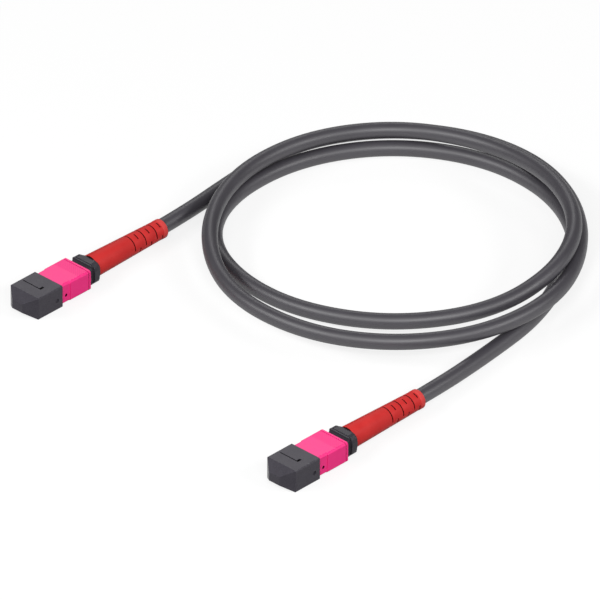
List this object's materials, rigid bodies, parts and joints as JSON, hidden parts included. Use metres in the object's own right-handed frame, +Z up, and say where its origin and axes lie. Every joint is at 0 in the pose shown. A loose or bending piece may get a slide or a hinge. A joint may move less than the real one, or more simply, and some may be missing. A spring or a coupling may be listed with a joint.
{
  "type": "fibre optic patch cable",
  "caption": "Loosely coiled round fibre optic patch cable with a dust-capped push-on multi-fibre plug and a slotted strain relief boot at each end.",
  "frame": {"origin": "midway between the plugs, on the surface that the cable lies on", "axes": "+X along both plugs from nose to cable, +Y from plug b to plug a, +Z up"},
  "size_m": [0.2034, 0.1513, 0.0175],
  "materials": {
    "black_jacket": "satin",
    "black_cap": "satin",
    "magenta_sleeve": "satin",
    "black_housing": "satin",
    "black_body": "satin",
    "red_boot": "satin",
    "spring_steel": "bright",
    "crimp_metal": "bright",
    "ferrule_resin": "satin",
    "spacer_plastic": "satin",
    "ferrule_boot_rubber": "matt",
    "ribbon_coating": "gloss"
  },
  "bodies": {
    "cable": {"cable_tail_a": "black_jacket", "cable_coil": "black_jacket", "cable_tail_b": "black_jacket", "inner_housing_a": "black_housing", "rear_body_a": "black_body", "crimp_ring_a": "crimp_metal", "strain_relief_boot_a": "red_boot", "fibre_ribbon_a": "ribbon_coating", "coupling_spring_left_a": "spring_steel", "coupling_spring_right_a": "spring_steel", "ferrule_spring_a": "spring_steel", "inner_housing_b": "black_housing", "rear_body_b": "black_body", "crimp_ring_b": "crimp_metal", "strain_relief_boot_b": "red_boot", "fibre_ribbon_b": "ribbon_coating", "coupling_spring_left_b": "spring_steel", "coupling_spring_right_b": "spring_steel", "ferrule_spring_b": "spring_steel"},
    "cap_a": {"dust_cap_a": "black_cap"},
    "sleeve_a": {"coupling_sleeve_a": "magenta_sleeve"},
    "ferrule_a": {"mt_ferrule_a": "ferrule_resin", "ferrule_spacer_a": "spacer_plastic", "ferrule_boot_a": "ferrule_boot_rubber"},
    "cap_b": {"dust_cap_b": "black_cap"},
    "sleeve_b": {"coupling_sleeve_b": "magenta_sleeve"},
    "ferrule_b": {"mt_ferrule_b": "ferrule_resin", "ferrule_spacer_b": "spacer_plastic", "ferrule_boot_b": "ferrule_boot_rubber"}
  },
  "joints": [
    {"name": "cap_a_pull", "type": "slide", "parent": "cable", "child": "cap_a", "axis": [-1, 0, 0], "range_m": [0, 0.02]},
    {"name": "sleeve_a_slide", "type": "slide", "parent": "cable", "child": "sleeve_a", "axis": [1, 0, 0], "range_m": [0, 0.0015], "stiffness_N_per_m": 400, "deforming": ["coupling_spring_left_a", "coupling_spring_right_a"]},
    {"name": "ferrule_a_float", "type": "slide", "parent": "cable", "child": "ferrule_a", "axis": [1, 0, 0], "range_m": [0, 0.0008], "stiffness_N_per_m": 500, "deforming": ["ferrule_spring_a"]},
    {"name": "cap_b_pull", "type": "slide", "parent": "cable", "child": "cap_b", "axis": [-1, 0, 0], "range_m": [0, 0.02]},
    {"name": "sleeve_b_slide", "type": "slide", "parent": "cable", "child": "sleeve_b", "axis": [1, 0, 0], "range_m": [0, 0.0015], "stiffness_N_per_m": 400, "deforming": ["coupling_spring_left_b", "coupling_spring_right_b"]},
    {"name": "ferrule_b_float", "type": "slide", "parent": "cable", "child": "ferrule_b", "axis": [1, 0, 0], "range_m": [0, 0.0008], "stiffness_N_per_m": 500, "deforming": ["ferrule_spring_b"]}
  ]
}
